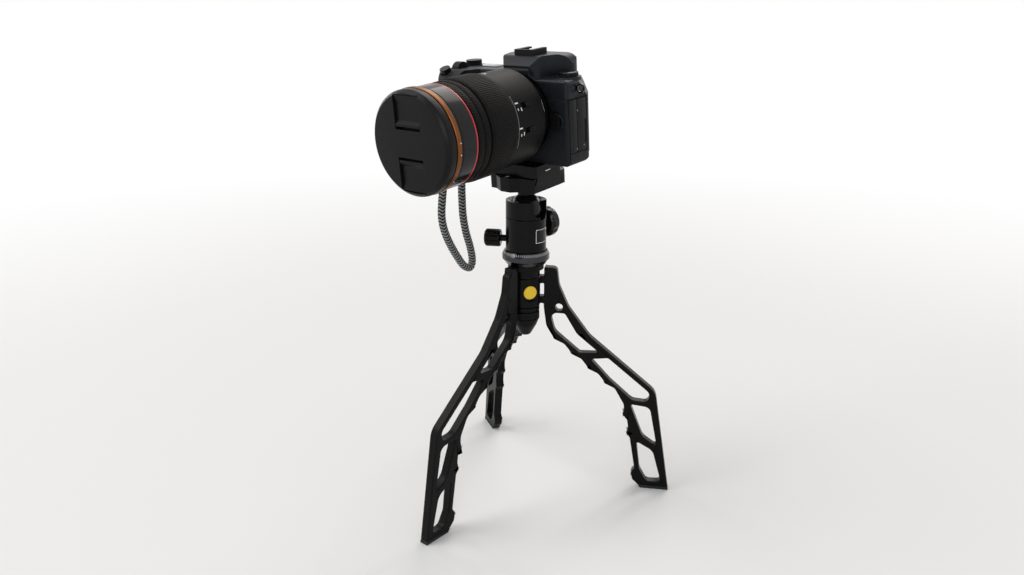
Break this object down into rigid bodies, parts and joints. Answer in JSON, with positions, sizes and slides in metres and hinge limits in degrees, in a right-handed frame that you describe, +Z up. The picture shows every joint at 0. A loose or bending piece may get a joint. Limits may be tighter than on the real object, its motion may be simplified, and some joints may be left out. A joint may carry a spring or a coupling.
{
  "type": "mirrorless camera on mini tripod",
  "caption": "Mirrorless camera with capped zoom lens and wrist strap, clamped to a ball head on a small folding tripod with cast plate legs.",
  "frame": {"origin": "on the floor, under the tripod's vertical hinge axis", "axes": "+Z up along the hinge and panning axis; -Y the way the lens looks, over the fixed front leg; +X the cable-door side of the camera"},
  "size_m": [0.2496, 0.2351, 0.4345],
  "materials": {
    "cast_black": "satin",
    "black_metal": "satin",
    "gunmetal": "satin",
    "steel": "brushed",
    "badge": "gloss",
    "sole": "matte",
    "grip_rubber": "matte",
    "liner": "satin",
    "vial": "gloss",
    "body_shell": "satin",
    "leatherette": "pebbled",
    "black_plastic": "matte",
    "screen_glass": "gloss",
    "mount_ring": "polished",
    "sensor": "gloss",
    "lens_black": "satin",
    "red_line": "gloss",
    "optics": "gloss",
    "brass_ring": "satin",
    "filter_dark": "gloss",
    "cap_black": "satin",
    "cord": "woven",
    "sleeve": "matte"
  },
  "bodies": {
    "tripod": {"tripod_platform": "cast_black", "hinge_pin": "steel", "hub_tail": "cast_black", "leg_front": "cast_black", "shoe_front": "sole", "head_base": "gunmetal"},
    "right_leg": {"leg_right": "cast_black", "shoe_right": "sole", "hub_badge": "badge"},
    "rear_leg": {"leg_rear": "cast_black", "shoe_rear": "sole"},
    "head": {"head_housing": "black_metal", "ball_seat": "liner"},
    "ball": {"ball": "black_metal"},
    "stem": {"ball_stem": "black_metal"},
    "clamp": {"clamp_body": "black_metal", "bubble_level": "vial"},
    "jaw": {"clamp_jaw": "black_metal"},
    "clamp_knob": {"clamp_knob": "black_metal"},
    "lock_knob": {"lock_knob": "black_plastic"},
    "pan_knob": {"pan_knob": "black_metal"},
    "camera": {"release_plate": "black_metal", "plate_screw": "steel", "body_shell": "leatherette", "top_cover": "body_shell", "rear_cover": "body_shell", "hand_grip": "leatherette", "accessory_shoe": "black_metal", "lens_mount": "mount_ring", "image_sensor": "sensor", "strap_lugs": "steel", "eyecup": "grip_rubber", "battery": "black_plastic", "wrist_strap": "cord", "strap_sleeve": "sleeve"},
    "screen": {"screen_hinge": "black_plastic", "folding_screen": "screen_glass"},
    "shutter": {"shutter_button": "black_plastic"},
    "grip_dial": {"grip_dial": "black_plastic"},
    "thumb_dial": {"thumb_dial": "black_plastic"},
    "power_dial": {"power_dial": "black_plastic"},
    "release": {"lens_release": "black_plastic"},
    "port_door": {"port_door": "black_plastic"},
    "card_door": {"card_door": "body_shell"},
    "battery_door": {"battery_door": "black_plastic"},
    "lens": {"lens_barrel": "lens_black"},
    "focus_switch": {"focus_switch": "black_plastic"},
    "steady_switch": {"steady_switch": "black_plastic"},
    "zoom": {"zoom_ring": "grip_rubber"},
    "focus": {"focus_ring": "grip_rubber"},
    "control": {"control_ring": "lens_black"},
    "front": {"front_barrel": "lens_black", "red_ring": "red_line", "lens_elements": "optics", "filter_frame": "lens_black"},
    "filter": {"filter_ring": "brass_ring", "filter_glass": "filter_dark"},
    "cap": {"lens_cap": "cap_black"},
    "latch_top": {"cap_latch_top": "cap_black"},
    "latch_bottom": {"cap_latch_bottom": "cap_black"}
  },
  "joints": [
    {"name": "right_leg_fold", "type": "hinge", "parent": "tripod", "child": "right_leg", "pos_m": [0, 0, 0.205], "axis": [0, 0, 1], "range_deg": [-120, 0]},
    {"name": "rear_leg_fold", "type": "hinge", "parent": "tripod", "child": "rear_leg", "pos_m": [0, 0, 0.205], "axis": [0, 0, 1], "range_deg": [0, 120]},
    {"name": "head_pan", "type": "hinge", "parent": "tripod", "child": "head", "pos_m": [0, 0, 0.25], "axis": [0, 0, 1], "continuous": true},
    {"name": "ball_nod", "type": "hinge", "parent": "head", "child": "ball", "pos_m": [0, 0, 0.2895], "axis": [1, 0, 0], "range_deg": [-34, 30]},
    {"name": "ball_tilt", "type": "hinge", "parent": "ball", "child": "stem", "pos_m": [0, 0, 0.2895], "axis": [0, 0.9959, 0.0906], "range_deg": [-15, 90]},
    {"name": "ball_spin", "type": "hinge", "parent": "stem", "child": "clamp", "pos_m": [0, -0.00186, 0.30992], "axis": [0, -0.0906, 0.9959], "continuous": true},
    {"name": "lock_turn", "type": "hinge", "parent": "head", "child": "lock_knob", "pos_m": [0, 0.03, 0.271], "axis": [0, 1, 0], "range_deg": [0, 270]},
    {"name": "pan_lock_turn", "type": "hinge", "parent": "head", "child": "pan_knob", "pos_m": [-0.0277, -0.016, 0.2595], "axis": [-0.866, -0.5, 0], "range_deg": [0, 270]},
    {"name": "jaw_open", "type": "slide", "parent": "clamp", "child": "jaw", "axis": [0, 0.9959, 0.0906], "range_m": [0, 0.006]},
    {"name": "clamp_knob_turn", "type": "hinge", "parent": "jaw", "child": "clamp_knob", "pos_m": [0, 0.03861, 0.31761], "axis": [0, 0.9959, 0.0906], "range_deg": [0, 1440]},
    {"name": "plate_slide", "type": "slide", "parent": "clamp", "child": "camera", "axis": [1, 0, 0], "range_m": [-0.012, 0.012]},
    {"name": "screen_swing", "type": "hinge", "parent": "camera", "child": "screen", "pos_m": [0.0464, 0.02799, 0.37037], "axis": [0, 0.0906, -0.9959], "range_deg": [0, 175]},
    {"name": "shutter_press", "type": "slide", "parent": "camera", "child": "shutter", "axis": [0, 0.4571, -0.8894], "range_m": [0, 0.0012], "stiffness_N_per_m": 500},
    {"name": "grip_dial_turn", "type": "hinge", "parent": "camera", "child": "grip_dial", "pos_m": [-0.071, -0.01067, 0.41224], "axis": [1, 0, 0], "continuous": true},
    {"name": "thumb_dial_turn", "type": "hinge", "parent": "camera", "child": "thumb_dial", "pos_m": [-0.072, 0.00951, 0.41669], "axis": [0, -0.0906, 0.9959], "continuous": true},
    {"name": "power_turn", "type": "hinge", "parent": "camera", "child": "power_dial", "pos_m": [0.0415, 0.00657, 0.41039], "axis": [0, -0.0906, 0.9959], "range_deg": [0, 45]},
    {"name": "release_press", "type": "slide", "parent": "camera", "child": "release", "axis": [0, 0.9959, 0.0906], "range_m": [0, 0.0018], "stiffness_N_per_m": 500},
    {"name": "port_door_open", "type": "hinge", "parent": "camera", "child": "port_door", "pos_m": [0.0516, -0.00426, 0.36944], "axis": [0, 0.0906, -0.9959], "range_deg": [0, 90]},
    {"name": "card_door_open", "type": "hinge", "parent": "camera", "child": "card_door", "pos_m": [-0.082, 0.02009, 0.36664], "axis": [0, 0.0906, -0.9959], "range_deg": [0, 100]},
    {"name": "battery_door_open", "type": "hinge", "parent": "camera", "child": "battery_door", "pos_m": [-0.0566, -0.00415, 0.33511], "axis": [0, -0.9959, -0.0906], "range_deg": [0, 100]},
    {"name": "lens_twist", "type": "hinge", "parent": "camera", "child": "lens", "pos_m": [0, -0.01183, 0.37759], "axis": [0, -0.9959, -0.0906], "range_deg": [0, 60]},
    {"name": "focus_switch_slide", "type": "slide", "parent": "lens", "child": "focus_switch", "axis": [0, -0.9959, -0.0906], "range_m": [0, 0.0052]},
    {"name": "steady_switch_slide", "type": "slide", "parent": "lens", "child": "steady_switch", "axis": [0, -0.9959, -0.0906], "range_m": [0, 0.0052]},
    {"name": "zoom_turn", "type": "hinge", "parent": "lens", "child": "zoom", "pos_m": [0, -0.07756, 0.37161], "axis": [0, -0.9959, -0.0906], "range_deg": [0, 75]},
    {"name": "zoom_extend", "type": "slide", "parent": "lens", "child": "front", "axis": [0, -0.9959, -0.0906], "range_m": [0, 0.028]},
    {"name": "focus_turn", "type": "hinge", "parent": "lens", "child": "focus", "pos_m": [0, -0.09947, 0.36961], "axis": [0, -0.9959, -0.0906], "continuous": true},
    {"name": "control_turn", "type": "hinge", "parent": "lens", "child": "control", "pos_m": [0, -0.10644, 0.36898], "axis": [0, -0.9959, -0.0906], "continuous": true},
    {"name": "filter_turn", "type": "hinge", "parent": "front", "child": "filter", "pos_m": [0, -0.13333, 0.36653], "axis": [0, -0.9959, -0.0906], "continuous": true},
    {"name": "cap_pull", "type": "slide", "parent": "filter", "child": "cap", "axis": [0, -0.9959, -0.0906], "range_m": [0, 0.04]},
    {"name": "latch_top_press", "type": "slide", "parent": "cap", "child": "latch_top", "axis": [0, 0.0906, -0.9959], "range_m": [0, 0.002], "stiffness_N_per_m": 500},
    {"name": "latch_bottom_press", "type": "slide", "parent": "cap", "child": "latch_bottom", "axis": [0, -0.0906, 0.9959], "range_m": [0, 0.002], "stiffness_N_per_m": 500}
  ],
  "couplings": [
    {"joint": "clamp_knob_turn", "follows": "jaw_open", "rad_per_m": 4188.8},
    {"joint": "zoom_extend", "follows": "zoom_turn", "m_per_rad": 0.02139}
  ]
}
